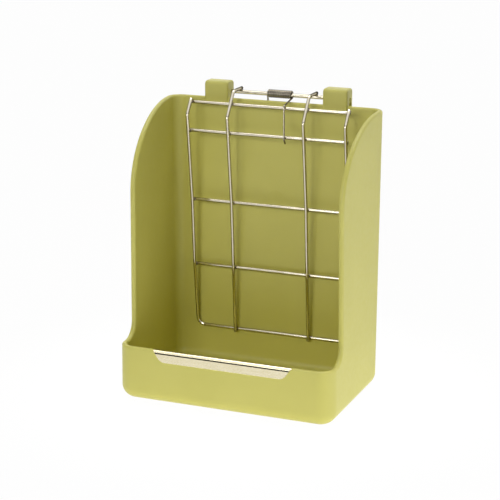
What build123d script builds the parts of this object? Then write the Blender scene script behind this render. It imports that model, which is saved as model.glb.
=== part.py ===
from build123d import *
import os
from math import acos, atan2, cos, degrees, hypot, radians, sin, tan

# Rabbit hay feeder box: an open-fronted moulded tub with two top hooks, a sprung
# welded-wire grille hinged on a rod in the hooks, and a sheet-metal chew guard on the lip.
# Millimetres. +Z up, front of the box faces -Y, origin at the middle of the base.

# ---- Moulded tub ----
base_width = 170.0          # outside width at the base
back_width_top = 173.8      # outside width at the top of the back panel
front_width_top = 162.8     # outside width that the side walls lean in to, front top
tray_depth = 109.0          # front face to rear face at the base
front_lean = 0.57           # how far the front face leans out over its full height
panel_height = 213.2        # top rim of the back panel
lip_height = 42.2           # top rim of the front lip
wall = 4.0
floor_thickness = 4.0
panel_draft = 1.7           # extra thickness of the back panel at the floor
front_corner_radius = 12.5  # outside upright corners at the front
back_corner_radius = 10.5   # outside upright corners at the back
base_edge_radius = 10.0     # outside edge round the base
rim_radius = 1.7            # rounding of every open rim

# ---- Side wall outline, seen from the side ----
side_setback = 84.0         # rear face to the upright front edge of a side wall
arch_start = 11.0           # rear face to where the arch leaves the rim
arch_foot = 152.6           # height where the arch becomes upright
flare_radius = 12.1         # hollow curve from the side wall down to the lip

# ---- Shallow dish at the moulding gate, inside the back panel ----
gate_x = 1.0
gate_height = 138.5
gate_radius = 6.5
gate_depth = 0.5

# ---- Top hooks, which also carry the hinge rod ----
hook_spacing = 95.7         # centre to centre
hook_width = 19.3
hook_rise = 12.4            # above the back panel's rim
hook_step = 1.0             # how far the hook stands in front of the panel
hook_front_drop = 5.0       # how far that step reaches below the panel's rim
hook_slot = 4.7             # gap for a cage wire behind the panel
hook_lip_thickness = 3.4
hook_drop = 17.0            # how far the lip hangs below the panel's rim
hook_top_radius = 3.0       # front and rear top corners, seen from the side
hook_edge_radius = 1.5      # outline edges of both ends
snap_opening = 2.7          # narrowed way in below the hinge rod's seat
snap_depth = 1.3            # from the rod's axis down to the end of the snap's throat
snap_flare = 1.6            # height over which the throat opens to the full slot

# ---- Hinge rod ----
rod_diameter = 3.0
rod_running_clearance = 0.08
rod_above_rim = 4.35
rod_end_inset = 2.5         # each end lies this far inside its hook

# ---- Welded wire grille ----
wire_diameter = 2.5
outer_wire_spacing = 126.6
inner_wire_spacing = 60.8
top_bar_below_rim = 2.4
upper_bar_below_rim = 23.4
middle_bar_height = 134.5
lower_bar_height = 81.9
bottom_bar_height = 30.85
top_bar_overhang = 0.2      # past the outer uprights' centre lines, each end
bar_overhang = 1.0          # the same, for the other cross bars
grille_corner_radius = 6.0
kink_below_rim = 11.2       # where the uprights start to lean back to the rod
kink_setout = 20.6          # uprights in front of the panel's rim at the kink
rod_bend_setout = 14.5      # where they bend over to the rod, in front of its axis
bow_setout = 12.5           # uprights in front of the panel's rim at the middle bar
rest_gap = 0.3              # bottom bar to the back panel when closed
weld_gap = 0.02             # crossing wires
bend_radius = 4.0
shallow_bend_radius = 60.0
outer_tail = 1.3            # outer uprights past the top bar's weld
inner_tail = 2.1            # inner uprights below the bottom bar
rod_tail = 2.1              # inner uprights behind the rod

# ---- Torsion spring round the rod ----
spring_wire = 1.3
coil_outer_diameter = 6.4
coil_whole_turns = 14       # less the angle between the legs
coil_pitch = 1.37
coil_centre_x = 1.9
coil_lift = 0.35            # the coil sits up on the rod, which it clears all round
short_leg_length = 16.0
leg_clearance = 0.25
long_leg_first_shift = 1.2  # sideways travel of the long leg out to the top bar
long_leg_side_shift = 2.4   # and on down to the upper bar
long_leg_tail_drop = 1.6    # below the upper bar, where the tail turns in
long_leg_tail = 3.6
long_leg_tail_angle = 34.0
leg_bend_radius = 1.8
short_leg_splay = 20.0      # degrees from upright at which the short leg leaves the coil
leg_lead = 0.2              # the short leg starts this far out of the coil, joined by a ball
long_leg_clear_of_bar = 0.5 # extra room at the upper bar, for the leg's slant past it

# ---- Sheet-metal chew guard on the front lip ----
guard_sheet = 0.5
guard_below_lip = 0.0       # its top, below the lip's top
guard_top_length = 109.0
guard_foot_length = 96.6
guard_front_height = 8.8
guard_inside_height = 7.0
guard_corner_radius = 3.0
guard_fit = 0.03            # sheet to plastic
saddle_ledge = 0.1          # keeps the notch's blank off the ridge's widest line
guard_end_gap = 0.3         # guard ends to the shoulders of their notch

# ---- Places worked out from the sizes above ----
rod_radius = rod_diameter / 2
wire_radius = wire_diameter / 2
hook_reach = hook_slot + hook_lip_thickness
front_lean_at_lip = front_lean * lip_height / panel_height
overall_depth = tray_depth + front_lean_at_lip + guard_sheet + guard_fit + hook_reach
rear_y = overall_depth / 2 - hook_reach
rim_y = rear_y - wall
rod_y = rear_y + hook_slot / 2
rod_z = panel_height + rod_above_rim
hook_top = panel_height + hook_rise
front_y = rear_y - tray_depth - front_lean_at_lip
guard_top = lip_height - guard_below_lip
guard_axis_z = guard_top - guard_sheet - guard_fit - wall / 2
guard_axis_y = rear_y - tray_depth - front_lean * guard_axis_z / panel_height + wall / 2
guard_foot = guard_top - guard_front_height
margin = 20.0               # how far cutting blanks reach past what they cut
quarter_ellipse = 0.5523    # Bezier handle length that draws a quarter of an ellipse


def front_face(z):
    """Y of the tub's outside front face at a height."""
    return rear_y - tray_depth - front_lean * z / panel_height


def panel_face(z):
    """Y of the back panel's inside face at a height."""
    return rim_y - panel_draft * (panel_height - z) / (panel_height - floor_thickness)


def section(z, back_half, front_half, back, front):
    """A four-sided level section of the tub at height z."""
    corners = [(-back_half, back), (back_half, back), (front_half, front), (-front_half, front)]
    return Plane.XY.offset(z) * make_face(Polyline(*corners, close=True))


def rounded_block(low, high, front_radius, back_radius, base_radius):
    """Loft two sections and round the upright corners and the base."""
    block = loft([low, high], ruled=True)
    uprights = block.edges().filter_by(lambda e: abs(e.tangent_at(0.5).Z) > 0.9)
    fronts = uprights.sort_by(Axis.Y)[:2]
    block = fillet(fronts, front_radius)
    uprights = block.edges().filter_by(lambda e: abs(e.tangent_at(0.5).Z) > 0.9)
    backs = uprights.sort_by(Axis.Y)[-2:]
    block = fillet(backs, back_radius)
    return fillet(block.faces().sort_by(Axis.Z)[0].edges(), base_radius)


def outer_block():
    low = section(0, half_width(0, True), half_width(0, False), rear_y, front_face(0))
    top = panel_height + margin
    high = section(top, half_width(top, True), half_width(top, False), rear_y, front_face(top))
    return rounded_block(low, high, front_corner_radius, back_corner_radius, base_edge_radius)


def half_width(z, back):
    """Outside half width at a height, at the back or at the front."""
    top = back_width_top if back else front_width_top
    return (base_width + (top - base_width) * z / panel_height) / 2


def cavity():
    top = panel_height + margin * 2
    low_z = floor_thickness
    low = section(low_z, half_width(low_z, True) - wall, half_width(low_z, False) - wall,
                  panel_face(low_z), front_face(low_z) + wall)
    high = section(top, half_width(top, True) - wall, half_width(top, False) - wall,
                   panel_face(top), front_face(top) + wall)
    return rounded_block(low, high, front_corner_radius - wall, back_corner_radius - wall,
                         base_edge_radius - floor_thickness)


def open_space():
    """What the side outline leaves open: all above the rim, the arch and the lip."""
    edge_y = rear_y - side_setback
    arch_y = rear_y - arch_start
    near_y = rear_y + margin
    far_y = front_y - margin
    far_z = panel_height + margin * 2
    flare_top = lip_height + flare_radius
    arch_run = arch_y - edge_y
    arch_rise = panel_height - arch_foot
    outline = [
        Line((far_y, far_z), (far_y, lip_height)),
        Line((far_y, lip_height), (edge_y - flare_radius, lip_height)),
        RadiusArc((edge_y - flare_radius, lip_height), (edge_y, flare_top), -flare_radius),
        Line((edge_y, flare_top), (edge_y, arch_foot)),
        Bezier((edge_y, arch_foot), (edge_y, arch_foot + arch_rise * quarter_ellipse),
               (arch_y - arch_run * quarter_ellipse, panel_height), (arch_y, panel_height)),
        Line((arch_y, panel_height), (near_y, panel_height)),
        Line((near_y, panel_height), (near_y, far_z)),
        Line((near_y, far_z), (far_y, far_z)),
    ]
    return extrude(Plane.YZ * make_face(outline), amount=base_width, both=True)


def on_rim(edge):
    """True for the long edges that the side outline cut through the walls."""
    ends = [edge.position_at(0), edge.position_at(1)]
    if min(end.Z for end in ends) < lip_height - rim_radius:
        return False
    crosses_wall = abs(ends[0].Y - ends[1].Y) < rim_radius and edge.length < wall * 1.5
    return not (crosses_wall and abs(ends[0].X - ends[1].X) > rim_radius)


def tub_shell():
    shell = outer_block() - cavity() - open_space()
    return fillet(shell.edges().filter_by(on_rim), rim_radius)


def gate_dish():
    """Ball that leaves the shallow round dish at the moulding gate."""
    ball_radius = (gate_radius ** 2 + gate_depth ** 2) / (2 * gate_depth)
    ball_y = panel_face(gate_height) + gate_depth - ball_radius
    return Pos(gate_x, ball_y, gate_height) * Sphere(ball_radius)


def guard_half_length(z):
    """Half length of the chew guard at a height: its ends slant in towards the bottom."""
    slant = (guard_top_length - guard_foot_length) / 2 / guard_front_height
    return guard_top_length / 2 - (guard_top - z) * slant


def guard_outline(low, high, gap):
    """Upright outline of the guard, or of its notch when the gap is not zero."""
    half_low = guard_half_length(low) + gap
    half_high = guard_half_length(high) + gap
    corners = [(-half_low, low), (half_low, low), (half_high, high), (-half_high, high)]
    return Plane.XZ * make_face(Polyline(*corners, close=True))


def guard_saddle():
    """Blank that lowers the lip to a round-topped ridge for the chew guard."""
    outline = guard_outline(guard_axis_z + saddle_ledge, lip_height + rim_radius, guard_end_gap)
    ridge = Rot(Y=90) * Cylinder(wall / 2, base_width)
    blank = Pos(Y=guard_axis_y) * extrude(outline, amount=wall, both=True)
    return blank - Pos(0, guard_axis_y, guard_axis_z) * ridge


def hook_outline():
    """A hook seen from the side: a block over the rim with a lip that hangs behind the panel."""
    front = rim_y - hook_step
    rear = rear_y + hook_reach
    foot = panel_height - hook_front_drop
    bottom = panel_height - hook_drop
    corners = [(front, foot), (rim_y, foot), (rim_y, bottom), (rear, bottom),
               (rear, hook_top), (front, hook_top)]
    outline = make_face(Polyline(*corners, close=True))
    return fillet(outline.vertices().group_by(Axis.Y)[-1], hook_top_radius)


def on_hook_end(edge):
    """True for the edges that run up and over a hook's ends, front to rear."""
    middle = edge.center()
    over = middle.Z > panel_height and abs(middle.X) > hook_width / 4
    upright = abs(edge.tangent_at(0.5).Z) > 0.9
    in_panel = rim_y - hook_step / 2 < middle.Y < rear_y
    return over or (upright and not in_panel)


def hook(x):
    block = extrude(Plane.YZ * hook_outline(), amount=hook_width / 2, both=True)
    block = fillet(block.edges().filter_by(on_hook_end), hook_edge_radius)
    return Pos(X=x) * block - hook_channel(x)


def hook_channel(x):
    """Channel through a hook: rod seat, snap throat and open slot below."""
    seat_radius = rod_radius + rod_running_clearance
    throat = snap_opening / 2
    half_slot = hook_slot / 2
    throat_z = rod_z - snap_depth
    slot_z = throat_z - snap_flare
    low_z = panel_height - hook_drop - margin
    outline = Polyline((-throat, rod_z), (throat, rod_z), (throat, throat_z), (half_slot, slot_z),
                       (half_slot, low_z), (-half_slot, low_z), (-half_slot, slot_z),
                       (-throat, throat_z), close=True)
    side = make_face(outline) + Pos(Y=rod_z) * Circle(seat_radius)
    return Pos(x, rod_y) * extrude(Plane.YZ * side, amount=hook_width, both=True)


def feeder_body():
    tub = tub_shell() - gate_dish() - guard_saddle()
    for side in (-1, 1):
        tub += hook(side * hook_spacing / 2)
    return tub


# ---- Places on the grille, as (y, z) on the wires' centre lines ----
wire_step = wire_diameter + weld_gap
rod_top_z = rod_z + rod_radius + wire_radius + weld_gap
leaning_top = (rod_y - rod_bend_setout, rod_top_z)
kink = (rim_y - kink_setout, panel_height - kink_below_rim)
kink_lean = (leaning_top[0] - kink[0]) / (leaning_top[1] - kink[1])
top_bar_height = panel_height - top_bar_below_rim
upper_bar_height = panel_height - upper_bar_below_rim
bow = (rim_y - bow_setout, middle_bar_height)
bottom_bar_y = panel_face(bottom_bar_height) - rest_gap - wire_radius
inner_foot = (bottom_bar_y - wire_step, bottom_bar_height)
top_bar_length = outer_wire_spacing + 2 * top_bar_overhang
bar_length = outer_wire_spacing + 2 * bar_overhang


def y_between(low, high, z):
    """Y at a height on the straight line through two (y, z) points."""
    return low[0] + (high[0] - low[0]) * (z - low[1]) / (high[1] - low[1])


def y_behind(low, high, z):
    """Y of a cross bar at a height that touches the back of the wire through two points."""
    lean = (high[0] - low[0]) / (high[1] - low[1])
    return y_between(low, high, z) + wire_step * hypot(1, lean)


top_bar = (y_behind(kink, leaning_top, top_bar_height), top_bar_height)
upper_bar = (y_behind(bow, kink, upper_bar_height), upper_bar_height)
middle_bar = (y_behind(bow, kink, middle_bar_height), middle_bar_height)
lower_bar = (y_behind(inner_foot, bow, lower_bar_height), lower_bar_height)


def wire_along(points, bends, radius):
    """Round wire through the points, rounded at each bend."""
    path = FilletPolyline(*points, radius=bends)
    return sweep(Plane(path @ 0, z_dir=path % 0) * Circle(radius), path=path)


def grille_frame():
    """Outer wire: both outer uprights and the bottom bar, bent from one length."""
    tip_z = top_bar_height + wire_step * kink_lean / hypot(1, kink_lean) + outer_tail
    side = [(y_between(kink, leaning_top, tip_z), tip_z), kink, bow,
            (y_between(inner_foot, bow, lower_bar_height), lower_bar_height),
            (bottom_bar_y, bottom_bar_height)]
    x = outer_wire_spacing / 2
    left = [(-x, y, z) for y, z in side]
    right = [(x, y, z) for y, z in reversed(side)]
    bends = [bend_radius, shallow_bend_radius, shallow_bend_radius, grille_corner_radius]
    return wire_along(left + right, bends + bends[::-1], wire_radius)


def inner_upright(x):
    """Inner upright, bent back over the hinge rod at the top."""
    tail_z = bottom_bar_height - inner_tail
    side = [(rod_y + rod_tail, rod_top_z), leaning_top, kink, bow,
            (y_between(inner_foot, bow, tail_z), tail_z)]
    points = [(x, y, z) for y, z in side]
    return wire_along(points, [bend_radius, bend_radius, shallow_bend_radius], wire_radius)


def cross_bar(place, length, diameter):
    return Pos(0, *place) * Rot(Y=90) * Cylinder(diameter / 2, length)


# ---- Places on the spring ----
spring_radius = spring_wire / 2
coil_radius = coil_outer_diameter / 2 - spring_radius
coil_z = rod_z + coil_lift
leg_reach = wire_radius + spring_radius + leg_clearance
leg_corner = (top_bar[0] - leg_reach, top_bar[1] + leg_reach)
leg_off_y = upper_bar[0] - leg_reach - long_leg_clear_of_bar
leg_off_bar = (leg_off_y, upper_bar[1] - long_leg_tail_drop)
short_angle = 180 + short_leg_splay
corner_y = leg_corner[0] - rod_y
corner_z = leg_corner[1] - coil_z
corner_distance = hypot(corner_y, corner_z)
corner_angle = degrees(atan2(corner_z, corner_y)) % 360
long_angle = corner_angle + degrees(acos(coil_radius / corner_distance))
coil_turns = coil_whole_turns - (long_angle - short_angle) / 360
coil_length = coil_turns * coil_pitch
coil_start_x = coil_centre_x - coil_length / 2
coil_end_x = coil_centre_x + coil_length / 2


def on_coil(x, angle):
    """Point on the coil's centre line at an angle about the coil's axis."""
    y = rod_y + coil_radius * cos(radians(angle))
    z = coil_z + coil_radius * sin(radians(angle))
    return (x, y, z)


def coil():
    start = on_coil(coil_start_x, short_angle)
    outwards = (0, cos(radians(short_angle)), sin(radians(short_angle)))
    frame = Plane((coil_start_x, rod_y, coil_z), x_dir=outwards, z_dir=(1, 0, 0))
    path = frame * Helix(coil_pitch, coil_length, coil_radius, lefthand=True)
    wire = Plane(start, z_dir=path % 0) * Circle(spring_radius)
    return sweep(wire, path=path, is_frenet=True)


def short_leg():
    """Leg that comes down behind the back panel and presses on it."""
    splay = radians(short_leg_splay)
    coil_end = on_coil(coil_start_x, short_angle)
    start = (coil_start_x, coil_end[1] + leg_lead * sin(splay), coil_end[2] - leg_lead * cos(splay))
    leg_y = rear_y + spring_radius + leg_clearance
    bend_z = start[2] - (leg_y - start[1]) / tan(splay)
    points = [start, (coil_start_x, leg_y, bend_z),
              (coil_start_x, leg_y, rod_z - short_leg_length)]
    return wire_along(points, leg_bend_radius, spring_radius) + Pos(*coil_end) * Sphere(spring_radius)


def long_leg():
    """Leg that lies over the front of the top and upper bars and presses them back."""
    side_x = coil_end_x + long_leg_first_shift
    tail_x = side_x + long_leg_side_shift
    angle = radians(long_leg_tail_angle)
    tail = (tail_x, leg_off_bar[0] + long_leg_tail * sin(angle),
            leg_off_bar[1] - long_leg_tail * cos(angle))
    points = [on_coil(coil_end_x, long_angle), (side_x, *leg_corner), (tail_x, *leg_off_bar), tail]
    return wire_along(points, leg_bend_radius, spring_radius)


def torsion_spring():
    return coil() + long_leg() + short_leg()


def chew_guard():
    """Sheet folded over the lip, its ends slanting in and its lower corners rounded."""
    outer = wall / 2 + guard_fit + guard_sheet
    inner = outer - guard_sheet
    y, z = guard_axis_y, guard_axis_z
    inside_foot = guard_top - guard_inside_height
    outline = [
        Line((y - outer, guard_foot), (y - outer, z)),
        ThreePointArc((y - outer, z), (y, z + outer), (y + outer, z)),
        Line((y + outer, z), (y + outer, inside_foot)),
        Line((y + outer, inside_foot), (y + inner, inside_foot)),
        Line((y + inner, inside_foot), (y + inner, z)),
        ThreePointArc((y + inner, z), (y, z + inner), (y - inner, z)),
        Line((y - inner, z), (y - inner, guard_foot)),
        Line((y - inner, guard_foot), (y - outer, guard_foot)),
    ]
    strip = extrude(Plane.YZ * make_face(outline), amount=guard_top_length, both=True)
    face = guard_outline(guard_foot, lip_height + rim_radius, 0)
    face = fillet(face.vertices().sort_by(Axis.Z)[:2], guard_corner_radius)
    return strip & Pos(Y=y) * extrude(face, amount=wall, both=True)


def hinge_rod():
    length = hook_spacing + hook_width - 2 * rod_end_inset
    return cross_bar((rod_y, rod_z), length, rod_diameter)


if __name__ == "__main__":
    os.makedirs("parts", exist_ok=True)
    half_inner = inner_wire_spacing / 2
    export_step(feeder_body(), "parts/feeder_body.step")
    export_step(hinge_rod(), "parts/hinge_rod.step")
    export_step(grille_frame(), "parts/grille_frame.step")
    export_step(inner_upright(-half_inner), "parts/grille_wire_left.step")
    export_step(inner_upright(half_inner), "parts/grille_wire_right.step")
    export_step(cross_bar(top_bar, top_bar_length, wire_diameter), "parts/grille_bar_top.step")
    export_step(cross_bar(upper_bar, bar_length, wire_diameter), "parts/grille_bar_upper.step")
    export_step(cross_bar(middle_bar, bar_length, wire_diameter), "parts/grille_bar_middle.step")
    export_step(cross_bar(lower_bar, bar_length, wire_diameter), "parts/grille_bar_lower.step")
    export_step(torsion_spring(), "parts/torsion_spring.step")
    export_step(chew_guard(), "parts/chew_guard.step")
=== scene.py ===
"""Looks of the hay feeder box: moulded tub, wire grille, torsion spring and chew guard.

Sizes are the CAD part's, in millimetres, with y counted from the back panel's rear face.
"""
import math

import bmesh
import bpy
from mathutils import Matrix, Vector

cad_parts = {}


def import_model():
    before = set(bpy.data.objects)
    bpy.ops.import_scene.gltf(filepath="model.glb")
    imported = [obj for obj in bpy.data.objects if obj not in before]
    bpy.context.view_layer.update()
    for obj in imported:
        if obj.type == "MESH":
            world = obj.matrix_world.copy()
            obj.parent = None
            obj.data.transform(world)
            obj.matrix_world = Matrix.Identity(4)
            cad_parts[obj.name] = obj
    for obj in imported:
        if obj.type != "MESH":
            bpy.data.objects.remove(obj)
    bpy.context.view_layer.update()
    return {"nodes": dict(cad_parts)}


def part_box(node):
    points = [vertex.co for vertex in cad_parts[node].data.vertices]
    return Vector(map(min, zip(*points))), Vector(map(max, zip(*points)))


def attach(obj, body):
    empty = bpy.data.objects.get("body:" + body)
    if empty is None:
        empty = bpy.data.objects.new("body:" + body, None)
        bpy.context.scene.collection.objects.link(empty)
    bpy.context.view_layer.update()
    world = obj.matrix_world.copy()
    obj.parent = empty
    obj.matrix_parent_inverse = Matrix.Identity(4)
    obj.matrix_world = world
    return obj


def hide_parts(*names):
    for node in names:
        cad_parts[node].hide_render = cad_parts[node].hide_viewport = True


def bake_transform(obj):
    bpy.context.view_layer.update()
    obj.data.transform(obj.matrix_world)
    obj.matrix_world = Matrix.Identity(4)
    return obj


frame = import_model()

MM = 0.001


def node_box(node):
    """Lowest and highest corners of a CAD node, in millimetres."""
    low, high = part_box(node)
    return low / MM, high / MM


# ---- Places and sizes read from the CAD nodes ----
ROD_BEHIND = 2.35           # hinge rod's axis behind the back panel's rear face
rod_low, rod_high = node_box("hinge_rod")
REAR_Y = (rod_low.y + rod_high.y) / 2 - ROD_BEHIND
ROD_Y, ROD_Z = ROD_BEHIND, (rod_low.z + rod_high.z) / 2
ROD_R = (rod_high.z - rod_low.z) / 2
ROD_HALF = rod_high.x


def bar_place(node):
    """(y, z, radius, half length) of a cross bar."""
    low, high = node_box(node)
    return (low.y + high.y) / 2 - REAR_Y, (low.z + high.z) / 2, (high.z - low.z) / 2, high.x


TOP_BAR = bar_place("grille_bar_top")
UPPER_BAR = bar_place("grille_bar_upper")
MIDDLE_BAR = bar_place("grille_bar_middle")
LOWER_BAR = bar_place("grille_bar_lower")
WIRE_R = TOP_BAR[2]
frame_low, frame_high = node_box("grille_frame")
OUTER_X = frame_high.x - WIRE_R
FOOT_Y, FOOT_Z = frame_high.y - WIRE_R - REAR_Y, frame_low.z + WIRE_R
inner_low, inner_high = node_box("grille_wire_right")
INNER_X = (inner_low.x + inner_high.x) / 2
guard_low, guard_high = node_box("chew_guard")
GUARD_FOOT, GUARD_TOP, GUARD_HALF = guard_low.z, guard_high.z, guard_high.x
GUARD_R = (guard_high.y - guard_low.y) / 2
GUARD_Y, GUARD_Z = guard_low.y + GUARD_R - REAR_Y, GUARD_TOP - GUARD_R

# ---- Grille sizes that the nodes' boxes don't show; places are (y, z) ----
WELD_GAP = 0.02             # between crossing wires
WIRE_STEP = 2 * WIRE_R + WELD_GAP
ROD_TOP_Z = ROD_Z + ROD_R + WIRE_R + WELD_GAP   # centre of the wires that cross over the rod
ROD_TAIL = 2.1              # inner uprights behind the rod
ROD_BEND_SETOUT = 14.5      # where the uprights bend over to the rod, in front of its axis
ROD_BEND = (ROD_Y - ROD_BEND_SETOUT, ROD_TOP_Z)
KINK = (-24.6, 202.0)       # where the uprights start to lean back
KINK_LEAN = (ROD_BEND[0] - KINK[0]) / (ROD_BEND[1] - KINK[1])
BOW = (-16.5, MIDDLE_BAR[1])                    # slight bend at the middle bar
INNER_FOOT = (FOOT_Y - WIRE_STEP, FOOT_Z)
BEND, SHALLOW_BEND, CORNER_BEND = 4, 60, 6      # radii of the wires' bends
WIRE_DIVISION = 6           # longest straight step of a grille wire's mesh

# ---- Weld beads ----
WELD_REACH = 1.45
WELD_LOBE = 0.42            # how much further a bead reaches into the four corners
WELD_HEIGHT = 1.15
WELD_RIM = 0.12             # half thickness left at a bead's edge
WELD_MERGE = 0.02
WELD_ROWS, WELD_SIDES = 7, 24

# ---- Torsion spring ----
SPRING_R = 0.62             # thinner than the CAD's 0.65, so that the turns read apart
COIL_R = 2.55               # wire's centre line
COIL_LIFT = 0.35            # coil's axis above the rod's
COIL_PITCH = 1.37
COIL_CENTRE_X = 1.9
COIL_WHOLE_TURNS = 14
COIL_START_ANGLE = 200      # degrees round the coil where the short leg leaves it
COIL_STEPS_PER_TURN = 30
SHORT_LEG_SPLAY = 20        # degrees
SHORT_LEG_DROP = 16         # its end below the rod's axis
LEG_CLEARANCE = 0.25
LEG_BEND = 1.8
UPPER_BAR_EXTRA = 0.5       # extra room where the long leg slants past the upper bar
UPPER_BAR_DROP = 1.6        # long leg's last bend below that bar
LONG_LEG_SIDE_X = 1.2       # sideways from the coil's end to the leg's first bend
LONG_LEG_TAIL_X = 3.6       # sideways from the coil's end to the tail
TAIL_LENGTH = 3.6
TAIL_ANGLE = 34             # degrees
SPRING_SIDES, SPRING_CHAMFER = 14, 0.12
SPRING_DIVISION = 2

# ---- Chew guard ----
GUARD_SHEET = 0.5
GUARD_FOOT_HALF = 48.3
GUARD_CORNER = 3            # rounded corners at the front foot
GUARD_INSIDE = 7.0          # height of the guard's inner flap
GUARD_COLUMNS = 40
GUARD_FOOT_SHIFT = 0.02     # lowest row above the foot, where the rounded corners start
GUARD_STRAIGHT_ROWS = (1, 2, 3)                 # above the rounded corners
GUARD_INNER_ROWS = (1, 2.5)                     # below the fold's axis, inside
GUARD_ROLL = range(20, 181, 5)                  # degrees over the fold
# Groove along the fold's start: (above the fold's axis, depth, dark). Dark rows get a near-black
# steel, painted shade in the groove.
GUARD_GROOVE = ((-0.08, 0, False), (0.02, 0.3, True), (0.34, 0.36, True), (0.66, 0.3, True))
GUARD_BEVEL = 0.1
GUARD_BEVEL_ANGLE = 60      # degrees

# ---- Studio: strengths where 1 is white ----
CEILING_BACK = 6.7          # ceiling panel behind the object
CEILING_FRONT = 0.32        # the same panel in front of it
BACKDROP = 0.75             # light that the backdrop gives to matt surfaces
SKY = 1.2                   # shown to reflections only: high in front
HORIZON = 1.45              # the same, low in front
DARK_ROOM = 0.15            # the same, the band between them
TABLE_GLOW = 0.55           # table's own light near the object
TABLE_GLOW_FAR = 0.03
TABLE_WHITE_SHARE = 0.95    # white shown to camera and reflections; the rest takes the shadow
FLOOR_SIZE = 8
FLOOR_DROP = 0.0002         # keeps the floor clear of the tub's underside
# Lamps: name, place, target (metres), width, height, watts.
SOFTBOXES = (
    ("key", (-0.04, -1.455, 0.76), (0, 0, 0.12), 0.26, 0.26, 4.0),
    ("key_left", (-0.27, -1.05, 0.50), (0, -0.03, 0.08), 0.24, 0.24, 1.45),
    ("fill_right", (0.40, -0.08, 0.03), (0.08, -0.02, 0.04), 0.3, 0.1, 0.40),
)

# ---- Camera ----
CAMERA_PLACE = (437.034, -1119.059, 430.409)
CAMERA_AZIMUTH, CAMERA_ELEVATION = 22.30, 15.55     # degrees
CAMERA_LENS, CAMERA_SENSOR = 115.975, 36


def at(x, y, z):
    """Point in metres from millimetres."""
    return Vector((x * MM, (y + REAR_Y) * MM, z * MM))


def srgb(r, g, b):
    """Linear colour from 8-bit sRGB values."""
    def linear(c):
        c = c / 255
        return c / 12.92 if c <= 0.04045 else ((c + 0.055) / 1.055) ** 2.4
    return (linear(r), linear(g), linear(b), 1)


# ---- Materials ----
PAINTED_DARK_EDGE_REFLECTION = (0.02, 0.02, 0.02, 1)     # near-black edge tint of the metals: painted dark reflection at a glancing angle, so the rims of the wires go dark
EVEN = (1, 1, 1)
ALONG_X = (1, 6, 6)


class Nodes:
    """Short names for building a node material."""

    def __init__(self, name):
        self.material = bpy.data.materials.new(name)
        self.material.use_nodes = True
        self.tree = self.material.node_tree
        self.shader = self.tree.nodes["Principled BSDF"]

    def node(self, kind, **values):
        made = self.tree.nodes.new(kind)
        for key, value in values.items():
            setattr(made, key, value)
        return made

    def link(self, source, target):
        self.tree.links.new(source, target)

    def coordinates(self, scale=(1, 1, 1)):
        where = self.node("ShaderNodeTexCoord")
        mapping = self.node("ShaderNodeMapping")
        mapping.inputs["Scale"].default_value = scale
        self.link(where.outputs["Object"], mapping.inputs["Vector"])
        return mapping.outputs["Vector"]

    def noise(self, vector, scale, detail=4, roughness=0.55):
        made = self.node("ShaderNodeTexNoise")
        made.inputs["Scale"].default_value = scale
        made.inputs["Detail"].default_value = detail
        made.inputs["Roughness"].default_value = roughness
        self.link(vector, made.inputs["Vector"])
        return made.outputs["Fac"]

    def spread(self, value, low, high, start=0.3, end=0.7):
        made = self.node("ShaderNodeMapRange")
        made.inputs["From Min"].default_value = start
        made.inputs["From Max"].default_value = end
        made.inputs["To Min"].default_value = low
        made.inputs["To Max"].default_value = high
        self.link(value, made.inputs["Value"])
        return made.outputs["Result"]

    def mix(self, factor, first, second):
        made = self.node("ShaderNodeMix", data_type="RGBA")
        self.link(factor, made.inputs["Factor"])
        for socket, value in ((made.inputs["A"], first), (made.inputs["B"], second)):
            if isinstance(value, tuple):
                socket.default_value = value
            else:
                self.link(value, socket)
        return made.outputs["Result"]

    def bump(self, height, strength, distance, below=None):
        made = self.node("ShaderNodeBump")
        made.inputs["Strength"].default_value = strength
        made.inputs["Distance"].default_value = distance
        self.link(height, made.inputs["Height"])
        if below:
            self.link(below, made.inputs["Normal"])
        return made.outputs["Normal"]


def moulded_plastic():
    """Satin moulded plastic: fine grain, slow sink waves and a faint drift of colour."""
    n = Nodes("tub_plastic")
    place = n.coordinates()
    drift = n.spread(n.noise(place, scale=14, detail=3), 0, 1)
    colour = n.mix(drift, srgb(209, 203, 104), srgb(214, 208, 110))
    n.link(colour, n.shader.inputs["Base Color"])
    rough = n.spread(n.noise(place, scale=260, detail=5), 0.38, 0.48)
    n.link(rough, n.shader.inputs["Roughness"])
    slow = n.bump(n.noise(place, scale=22, detail=2), strength=0.05, distance=0.001)
    grain = n.noise(place, scale=2600, detail=3, roughness=0.6)
    fine = n.bump(grain, strength=0.06, distance=0.0001, below=slow)
    n.link(fine, n.shader.inputs["Normal"])
    n.shader.inputs["IOR"].default_value = 1.5
    n.shader.inputs["Specular IOR Level"].default_value = 0.45
    return n.material


def bright_metal(name, light, dark, rough_low, rough_high, stretch):
    """Plated or polished metal: faint tarnish and fine marks, stretched as the scale says."""
    n = Nodes(name)
    place = n.coordinates(stretch)
    cloud = n.spread(n.noise(place, scale=140, detail=4), 0, 1)
    n.link(n.mix(cloud, light, dark), n.shader.inputs["Base Color"])
    # edge tint set near black: painted dark reflection on the metal's glancing edges
    n.shader.inputs["Specular Tint"].default_value = PAINTED_DARK_EDGE_REFLECTION
    rough = n.spread(n.noise(place, scale=600, detail=4), rough_low, rough_high)
    n.link(rough, n.shader.inputs["Roughness"])
    wave = n.bump(n.noise(place, scale=60, detail=2), strength=0.05, distance=0.0005)
    marks = n.noise(place, scale=2000, detail=3)
    fine = n.bump(marks, strength=0.05, distance=0.00005, below=wave)
    n.link(fine, n.shader.inputs["Normal"])
    n.shader.inputs["Metallic"].default_value = 1
    return n.material


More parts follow.
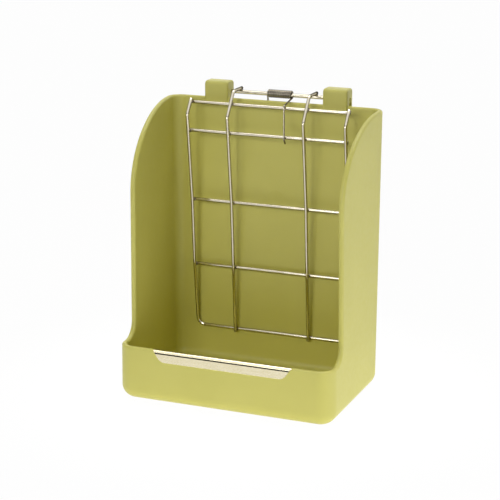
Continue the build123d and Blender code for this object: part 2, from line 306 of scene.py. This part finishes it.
plastic = moulded_plastic()
plated = bright_metal("plated_wire", srgb(210, 203, 184), srgb(198, 190, 170), 0.07, 0.12, EVEN)
spring_steel = bright_metal("spring_steel", srgb(164, 157, 142), srgb(132, 125, 112),
                            0.05, 0.10, EVEN)
# the steel's own light tone, tinted beige as a painted reflection of the olive tub and the table
sheet_steel_and_painted_reflection = bright_metal("guard_steel_and_painted_reflection", srgb(232, 223, 192), srgb(224, 214, 180),
                           0.22, 0.30, ALONG_X)
weld_steel = bright_metal("weld_steel", srgb(170, 162, 148), srgb(110, 102, 90),
                          0.25, 0.45, EVEN)
# near-black steel for the guard's groove: painted shade along the fold
painted_shade_crease_steel = bright_metal("guard_crease_painted_shade", srgb(40, 32, 26), srgb(22, 17, 14),
                            0.5, 0.6, EVEN)


# ---- Mesh helpers ----
def make_object(name, mesh, material, body):
    """Smooth object in a material slot, riding on a body if one is given."""
    made = bpy.data.objects.new(name, mesh)
    bpy.context.collection.objects.link(made)
    made.data.materials.append(material)
    for face in made.data.polygons:
        face.use_smooth = True
    if body:
        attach(made, body)
    return made


def bent(points, radii):
    """Centre line through the points, its corners rounded, as a list of points in mm."""
    points = [Vector(p) for p in points]
    line = [points[0]]
    for before, corner, after, radius in zip(points, points[1:], points[2:], radii):
        into = (corner - before).normalized()
        out = (after - corner).normalized()
        turn = into.angle(out)
        reach = radius * math.tan(turn / 2)
        start = corner - into * reach
        axis = into.cross(out).normalized()
        centre = start + axis.cross(into) * radius
        steps = max(2, int(math.degrees(turn) / 5))
        for step in range(steps + 1):
            spin = Matrix.Rotation(turn * step / steps, 3, axis)
            line.append(centre + spin @ (start - centre))
    line.append(points[-1])
    return line


def divided(line, longest):
    """The same line with no step longer than given."""
    out = [line[0]]
    for start, end in zip(line, line[1:]):
        steps = max(1, math.ceil((end - start).length / longest))
        out += [start.lerp(end, step / steps) for step in range(1, steps + 1)]
    return out


def tube(name, line, radius, material, body, sides=20, chamfer=0.25):
    """Round wire along a line in mm, with cut and chamfered ends."""
    mesh = bpy.data.meshes.new(name)
    bm = bmesh.new()
    tangent = (line[1] - line[0]).normalized()
    side = tangent.orthogonal().normalized()
    rings = []
    last = len(line) - 1
    sections = [(line[0], radius - chamfer), (line[0] + tangent * chamfer, radius)]
    sections += [(point, radius) for point in line[1:last]]
    final = (line[last] - line[last - 1]).normalized()
    sections += [(line[last] - final * chamfer, radius), (line[last], radius - chamfer)]
    for index, (point, size) in enumerate(sections):
        ahead = sections[min(index + 1, len(sections) - 1)][0]
        behind = sections[max(index - 1, 0)][0]
        tangent = (ahead - behind).normalized()
        side = (side - tangent * side.dot(tangent)).normalized()
        other = tangent.cross(side)
        ring = []
        for step in range(sides):
            angle = 2 * math.pi * step / sides
            place = point + (side * math.cos(angle) + other * math.sin(angle)) * size
            ring.append(bm.verts.new(at(*place)))
        rings.append(ring)
    for near, far in zip(rings, rings[1:]):
        for step in range(sides):
            after = (step + 1) % sides
            bm.faces.new((near[step], near[after], far[after], far[step]))
    bm.faces.new(reversed(rings[0]))
    bm.faces.new(rings[-1])
    bm.to_mesh(mesh)
    bm.free()
    made = make_object(name, mesh, material, body)
    mesh.polygons[len(mesh.polygons) - 1].use_smooth = False
    mesh.polygons[len(mesh.polygons) - 2].use_smooth = False
    return made


# ---- Grille ----
def leaning_y(z):
    """Y of the uprights' leaning part, above the kink."""
    return KINK[0] + KINK_LEAN * (z - KINK[1])


def y_on(low, high, z):
    """Y at a height on the line through two places."""
    return low[0] + (high[0] - low[0]) * (z - low[1]) / (high[1] - low[1])


def outer_wire():
    """Both outer uprights and the bottom bar, bent from one wire."""
    tip_z = frame_high.z - WIRE_R * KINK_LEAN / math.hypot(1, KINK_LEAN)
    low_z = LOWER_BAR[1]
    side = [(leaning_y(tip_z), tip_z), KINK, BOW, (y_on(INNER_FOOT, BOW, low_z), low_z),
            (FOOT_Y, FOOT_Z)]
    points = [(-OUTER_X, y, z) for y, z in side] + [(OUTER_X, y, z) for y, z in reversed(side)]
    bends = [BEND, SHALLOW_BEND, SHALLOW_BEND, CORNER_BEND]
    line = divided(bent(points, bends + bends[::-1]), WIRE_DIVISION)
    wire = tube("grille_outer_wire", line, WIRE_R, plated, "grille")
    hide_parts("grille_frame")


def inner_wire(name, x, node):
    """Inner upright, bent back over the rod at the top."""
    tail_z = inner_low.z
    side = [(ROD_Y + ROD_TAIL, ROD_TOP_Z), ROD_BEND, KINK, BOW,
            (y_on(INNER_FOOT, BOW, tail_z), tail_z)]
    points = [(x, y, z) for y, z in side]
    line = divided(bent(points, [BEND, BEND, SHALLOW_BEND]), WIRE_DIVISION)
    wire = tube(name, line, WIRE_R, plated, "grille")
    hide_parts(node)


def bar(name, place, node):
    """Straight wire across, centred on x."""
    y, z, radius, half = place
    line = divided([Vector((-half, y, z)), Vector((half, y, z))], WIRE_DIVISION)
    wire = tube(name, line, radius, plated, "grille")
    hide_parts(node)


def weld(name, where, across, along, normal):
    """Flattened weld bead between two crossing wires, drawn out into the four corners."""
    mesh = bpy.data.meshes.new(name)
    bm = bmesh.new()
    for sign in (1, -1):
        previous = None
        for row in range(WELD_ROWS + 1):
            share = row / WELD_ROWS
            ring = []
            for step in range(WELD_SIDES):
                angle = 2 * math.pi * step / WELD_SIDES
                reach = WELD_REACH + WELD_LOBE * math.cos(4 * angle + math.pi)
                height = WELD_HEIGHT * (1 - share ** 2) + WELD_RIM
                flat = (across * math.cos(angle) + along * math.sin(angle)) * reach * share
                ring.append(bm.verts.new(at(*(where + flat + normal * height * sign))))
            if previous:
                for step in range(WELD_SIDES):
                    after = (step + 1) % WELD_SIDES
                    bm.faces.new((previous[step], previous[after], ring[after], ring[step]))
            previous = ring
    bmesh.ops.remove_doubles(bm, verts=bm.verts, dist=WELD_MERGE * MM)
    rims = [edge for edge in bm.edges if edge.is_boundary]
    bmesh.ops.bridge_loops(bm, edges=rims)
    bmesh.ops.recalc_face_normals(bm, faces=bm.faces)
    bm.to_mesh(mesh)
    bm.free()
    make_object(name, mesh, weld_steel, "grille")


def welds():
    """A bead at each crossing of the bars, the foot and the rod."""
    x_axis = Vector((1, 0, 0))
    count = 0
    leaning = Vector((0, KINK_LEAN, 1)).normalized()
    upper = Vector((0, KINK[0] - BOW[0], KINK[1] - BOW[1])).normalized()
    lower = Vector((0, INNER_FOOT[0] - BOW[0], INNER_FOOT[1] - BOW[1])).normalized()
    crossings = [(TOP_BAR, leaning), (UPPER_BAR, upper), (MIDDLE_BAR, upper), (LOWER_BAR, lower)]
    for place, direction in crossings:
        front = x_axis.cross(direction).normalized()
        if front.y > 0:
            front = -front
        for x in (-OUTER_X, -INNER_X, INNER_X, OUTER_X):
            count += 1
            where = Vector((x, *place[:2])) + front * WIRE_STEP / 2
            weld(f"weld_{count}", where, x_axis, direction, front)
    for x in (-INNER_X, INNER_X):
        count += 1
        where = Vector((x, FOOT_Y - WIRE_STEP / 2, FOOT_Z))
        weld(f"weld_{count}", where, x_axis, lower, Vector((0, -1, 0)))
        count += 1
        where = Vector((x, ROD_Y, ROD_Z + ROD_R))
        weld(f"weld_{count}", where, x_axis, Vector((0, 1, 0)), Vector((0, 0, 1)))


outer_wire()
inner_wire("grille_inner_wire_left", -INNER_X, "grille_wire_left")
inner_wire("grille_inner_wire_right", INNER_X, "grille_wire_right")
bar("grille_top_bar", TOP_BAR, "grille_bar_top")
bar("grille_upper_bar", UPPER_BAR, "grille_bar_upper")
bar("grille_middle_bar", MIDDLE_BAR, "grille_bar_middle")
bar("grille_lower_bar", LOWER_BAR, "grille_bar_lower")
bar("hinge_rod_wire", (ROD_Y, ROD_Z, ROD_R, ROD_HALF), "hinge_rod")
welds()


# ---- Spring's mesh ----
def spring():
    """Short leg behind the panel, coil round the rod and long leg over the grille's bars."""
    coil_z = ROD_Z + COIL_LIFT
    reach = WIRE_R + SPRING_R + LEG_CLEARANCE
    corner = (TOP_BAR[0] - reach, TOP_BAR[1] + reach)
    off_bar = (UPPER_BAR[0] - reach - UPPER_BAR_EXTRA, UPPER_BAR[1] - UPPER_BAR_DROP)
    run_y, run_z = corner[0] - ROD_Y, corner[1] - coil_z
    long_angle = math.degrees(math.atan2(run_z, run_y)) % 360
    long_angle += math.degrees(math.acos(COIL_R / math.hypot(run_y, run_z)))
    turns = COIL_WHOLE_TURNS - (long_angle - COIL_START_ANGLE) / 360
    start_x = COIL_CENTRE_X - turns * COIL_PITCH / 2
    end_x = COIL_CENTRE_X + turns * COIL_PITCH / 2

    def on_coil(x, angle):
        turn = math.radians(angle)
        return Vector((x, ROD_Y + COIL_R * math.cos(turn), coil_z + COIL_R * math.sin(turn)))

    first = on_coil(start_x, COIL_START_ANGLE)
    splay = math.radians(SHORT_LEG_SPLAY)
    leg_y = SPRING_R + LEG_CLEARANCE
    bend_z = first.z - (leg_y - first.y) / math.tan(splay)
    foot = (start_x, leg_y, ROD_Z - SHORT_LEG_DROP)
    short = bent([foot, (start_x, leg_y, bend_z), first], [LEG_BEND])
    steps = int(turns * COIL_STEPS_PER_TURN)
    coil = [on_coil(start_x + (end_x - start_x) * step / steps,
                    COIL_START_ANGLE - turns * 360 * step / steps)
            for step in range(1, steps)]
    last = on_coil(end_x, long_angle)
    tail = math.radians(TAIL_ANGLE)
    side_x, tail_x = end_x + LONG_LEG_SIDE_X, end_x + LONG_LEG_TAIL_X
    tip = (tail_x, off_bar[0] + TAIL_LENGTH * math.sin(tail),
           off_bar[1] - TAIL_LENGTH * math.cos(tail))
    long = bent([last, (side_x, *corner), (tail_x, *off_bar), tip], [LEG_BEND, LEG_BEND])
    line = divided(short + coil + long, SPRING_DIVISION)
    wire = tube("torsion_spring_wire", line, SPRING_R, spring_steel, None,
                SPRING_SIDES, SPRING_CHAMFER)
    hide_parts("torsion_spring")
    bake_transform(wire)


spring()


# ---- Guard's mesh ----
def guard_half(z):
    """Half length at a height: slanting ends, and rounded corners at the foot."""
    slant = (GUARD_HALF - GUARD_FOOT_HALF) / (GUARD_TOP - GUARD_FOOT)
    half = GUARD_HALF - (GUARD_TOP - z) * slant
    above = z - GUARD_FOOT
    if above < GUARD_CORNER:
        half -= GUARD_CORNER - math.sqrt(GUARD_CORNER ** 2 - (GUARD_CORNER - above) ** 2)
    return half


def guard_profile():
    """Rows over the fold, front foot to inner foot: (outward y, z, inward y, z, dark); dark rows
    take painted shade.
    """
    rows = []
    front_y, inner_y = GUARD_Y - GUARD_R, GUARD_Y + GUARD_R
    rise = GUARD_CORNER - GUARD_FOOT_SHIFT
    heights = [GUARD_FOOT + GUARD_FOOT_SHIFT + rise * (1 - math.cos(math.radians(angle)))
               for angle in range(0, 91, 9)]
    heights += [GUARD_FOOT + GUARD_CORNER + step for step in GUARD_STRAIGHT_ROWS]
    for z in heights:
        rows.append((front_y, z, front_y + GUARD_SHEET, z, False))
    for above, dip, dark in GUARD_GROOVE:
        z = GUARD_Z + above
        rows.append((front_y + dip, z, front_y + GUARD_SHEET, z, dark))
    for angle in GUARD_ROLL:
        turn = math.radians(angle)
        y, z = -math.cos(turn), math.sin(turn)
        rows.append((GUARD_Y + GUARD_R * y, GUARD_Z + GUARD_R * z,
                     GUARD_Y + (GUARD_R - GUARD_SHEET) * y,
                     GUARD_Z + (GUARD_R - GUARD_SHEET) * z, False))
    inner_heights = [GUARD_Z - below for below in GUARD_INNER_ROWS]
    for z in inner_heights + [GUARD_TOP - GUARD_INSIDE]:
        rows.append((inner_y, z, inner_y - GUARD_SHEET, z, False))
    return rows


def guard():
    """Bent sheet over the lip, with painted shade in the groove along its fold."""
    mesh = bpy.data.meshes.new("chew_guard_sheet")
    bm = bmesh.new()
    columns = GUARD_COLUMNS
    outside, inside = [], []
    profile = guard_profile()
    for out_y, out_z, in_y, in_z, _ in profile:
        half = guard_half(out_z)
        across = [half * (2 * c / columns - 1) for c in range(columns + 1)]
        outside.append([bm.verts.new(at(x, out_y, out_z)) for x in across])
        inside.append([bm.verts.new(at(x, in_y, in_z)) for x in across])
    for row in range(len(profile) - 1):
        dark = profile[row][4] or profile[row + 1][4]
        for c in range(columns):
            face = bm.faces.new((outside[row][c], outside[row][c + 1],
                                 outside[row + 1][c + 1], outside[row + 1][c]))
            # the groove's faces take the near-black steel of the painted shade
            face.material_index = 1 if dark else 0
            bm.faces.new((inside[row][c], inside[row + 1][c],
                          inside[row + 1][c + 1], inside[row][c + 1]))
        for c, flip in ((0, False), (columns, True)):
            quad = [outside[row][c], outside[row + 1][c], inside[row + 1][c], inside[row][c]]
            bm.faces.new(reversed(quad) if flip else quad)
    for row, flip in ((0, True), (len(profile) - 1, False)):
        for c in range(columns):
            quad = [outside[row][c], outside[row][c + 1], inside[row][c + 1], inside[row][c]]
            bm.faces.new(reversed(quad) if flip else quad)
    bmesh.ops.recalc_face_normals(bm, faces=bm.faces)
    bm.to_mesh(mesh)
    bm.free()
    made = make_object("chew_guard_sheet", mesh, sheet_steel_and_painted_reflection, "feeder")
    # second slot: near-black steel that paints shade into the groove
    made.data.materials.append(painted_shade_crease_steel)
    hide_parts("chew_guard")
    bevel = made.modifiers.new("edge", "BEVEL")
    bevel.width = GUARD_BEVEL * MM
    bevel.segments = 2
    bevel.limit_method = "ANGLE"
    bevel.angle_limit = math.radians(GUARD_BEVEL_ANGLE)
    bevel.harden_normals = True


guard()

# ---- Tub: the CAD solid with its plastic ----
tub = frame["nodes"]["feeder_body"]
tub.data.materials.clear()
tub.data.materials.append(plastic)


# ---- Stage, light and camera ----
def ramp(tree, value, start, end, low, high):
    """Smooth step of a value, as a node output."""
    made = tree.nodes.new("ShaderNodeMapRange")
    made.interpolation_type = "SMOOTHSTEP"
    made.inputs["From Min"].default_value = start
    made.inputs["From Max"].default_value = end
    made.inputs["To Min"].default_value = low
    made.inputs["To Max"].default_value = high
    tree.links.new(value, made.inputs["Value"])
    return made.outputs["Result"]


def arithmetic(tree, operation, *values):
    """Result of a maths node on numbers or other nodes' outputs."""
    made = tree.nodes.new("ShaderNodeMath")
    made.operation = operation
    for socket, value in zip(made.inputs, values):
        if isinstance(value, (int, float)):
            socket.default_value = value
        else:
            tree.links.new(value, socket)
    return made.outputs[0]


def floor():
    """White table: white to camera and reflections, a little glow round the object, a shadow."""
    bpy.ops.mesh.primitive_plane_add(size=FLOOR_SIZE, location=(0, 0, -FLOOR_DROP))
    ground = bpy.context.object
    ground.name = "floor"
    n = Nodes("floor_white")
    tree = n.tree
    n.shader.inputs["Base Color"].default_value = (0.86, 0.86, 0.86, 1)
    n.shader.inputs["Roughness"].default_value = 0.9
    where = n.node("ShaderNodeNewGeometry")
    far = n.node("ShaderNodeVectorMath", operation="LENGTH")
    n.link(where.outputs["Position"], far.inputs[0])
    glow = ramp(tree, far.outputs["Value"], 0.09, 0.25, TABLE_GLOW, TABLE_GLOW_FAR)
    n.link(glow, n.shader.inputs["Emission Strength"])
    n.shader.inputs["Emission Color"].default_value = (1, 1, 1, 1)
    white = n.node("ShaderNodeEmission")
    path = n.node("ShaderNodeLightPath")
    seen = arithmetic(tree, "MAXIMUM", path.outputs["Is Camera Ray"],
                      path.outputs["Is Glossy Ray"])
    seen = arithmetic(tree, "MAXIMUM", seen, path.outputs["Is Transmission Ray"])
    share = arithmetic(tree, "MULTIPLY", seen, TABLE_WHITE_SHARE)
    blend = n.node("ShaderNodeMixShader")
    n.link(share, blend.inputs[0])
    n.link(n.shader.outputs[0], blend.inputs[1])
    n.link(white.outputs[0], blend.inputs[2])
    n.link(blend.outputs[0], tree.nodes["Material Output"].inputs[0])
    ground.data.materials.append(n.material)


def world():
    """White to the camera; a ceiling panel, strongest at the back, and a backdrop light it.

    Reflections see white behind the object. In front of it they see a dim band between a
    bright horizon and a bright sky.
    """
    made = bpy.data.worlds.new("studio")
    bpy.context.scene.world = made
    made.use_nodes = True
    tree = made.node_tree
    tree.nodes.clear()
    where = tree.nodes.new("ShaderNodeTexCoord")
    split = tree.nodes.new("ShaderNodeSeparateXYZ")
    tree.links.new(where.outputs["Generated"], split.inputs[0])
    up, back = split.outputs["Z"], split.outputs["Y"]
    ceiling = ramp(tree, up, 0.88, 0.95, 0, 1)
    strength = ramp(tree, back, -0.05, 0.05, CEILING_FRONT, CEILING_BACK)
    ceiling = arithmetic(tree, "MULTIPLY", ceiling, strength)
    backdrop = ramp(tree, back, 0.35, 0.70, 0, BACKDROP)
    total = arithmetic(tree, "ADD", ceiling, backdrop)
    horizon = ramp(tree, up, 0.16, 0.30, HORIZON, DARK_ROOM)
    sky = ramp(tree, up, 0.42, 0.62, DARK_ROOM, SKY)
    shown = arithmetic(tree, "MAXIMUM", ramp(tree, back, 0.0, 0.4, 0, 1), horizon)
    shown = arithmetic(tree, "MAXIMUM", shown, sky)
    shown = arithmetic(tree, "ADD", shown, ceiling)
    path = tree.nodes.new("ShaderNodeLightPath")
    mirror = arithmetic(tree, "MAXIMUM", path.outputs["Is Glossy Ray"],
                        path.outputs["Is Transmission Ray"])
    swap = arithmetic(tree, "MULTIPLY", mirror, arithmetic(tree, "SUBTRACT", shown, total))
    dome = tree.nodes.new("ShaderNodeBackground")
    dome.inputs["Color"].default_value = (1, 1, 1, 1)
    tree.links.new(arithmetic(tree, "ADD", total, swap), dome.inputs["Strength"])
    white = tree.nodes.new("ShaderNodeBackground")
    white.inputs["Color"].default_value = (1, 1, 1, 1)
    blend = tree.nodes.new("ShaderNodeMixShader")
    out = tree.nodes.new("ShaderNodeOutputWorld")
    tree.links.new(path.outputs["Is Camera Ray"], blend.inputs[0])
    tree.links.new(dome.outputs[0], blend.inputs[1])
    tree.links.new(white.outputs[0], blend.inputs[2])
    tree.links.new(blend.outputs[0], out.inputs[0])


def softbox(name, place, target, width, height, power):
    """Rectangular lamp aimed at a target."""
    data = bpy.data.lights.new(name, "AREA")
    data.shape = "RECTANGLE"
    data.size = width
    data.size_y = height
    data.energy = power
    box = bpy.data.objects.new(name, data)
    bpy.context.collection.objects.link(box)
    box.location = place
    box.rotation_mode = "QUATERNION"
    box.rotation_quaternion = (Vector(target) - Vector(place)).to_track_quat("-Z", "Y")


def camera():
    """Camera of the photo's view."""
    data = bpy.data.cameras.new("camera")
    data.lens = CAMERA_LENS
    data.sensor_width = CAMERA_SENSOR
    data.clip_start = 0.01
    data.clip_end = 50
    cam = bpy.data.objects.new("camera", data)
    bpy.context.collection.objects.link(cam)
    azimuth, elevation = math.radians(CAMERA_AZIMUTH), math.radians(CAMERA_ELEVATION)
    back = Vector((math.sin(azimuth) * math.cos(elevation),
                   -math.cos(azimuth) * math.cos(elevation), math.sin(elevation)))
    cam.location = at(*CAMERA_PLACE)
    cam.rotation_mode = "QUATERNION"
    cam.rotation_quaternion = (-back).to_track_quat("-Z", "Y")
    bpy.context.scene.camera = cam


floor()
world()
for lamp in SOFTBOXES:
    softbox(*lamp)
camera()
bpy.context.scene.view_settings.view_transform = "Standard"
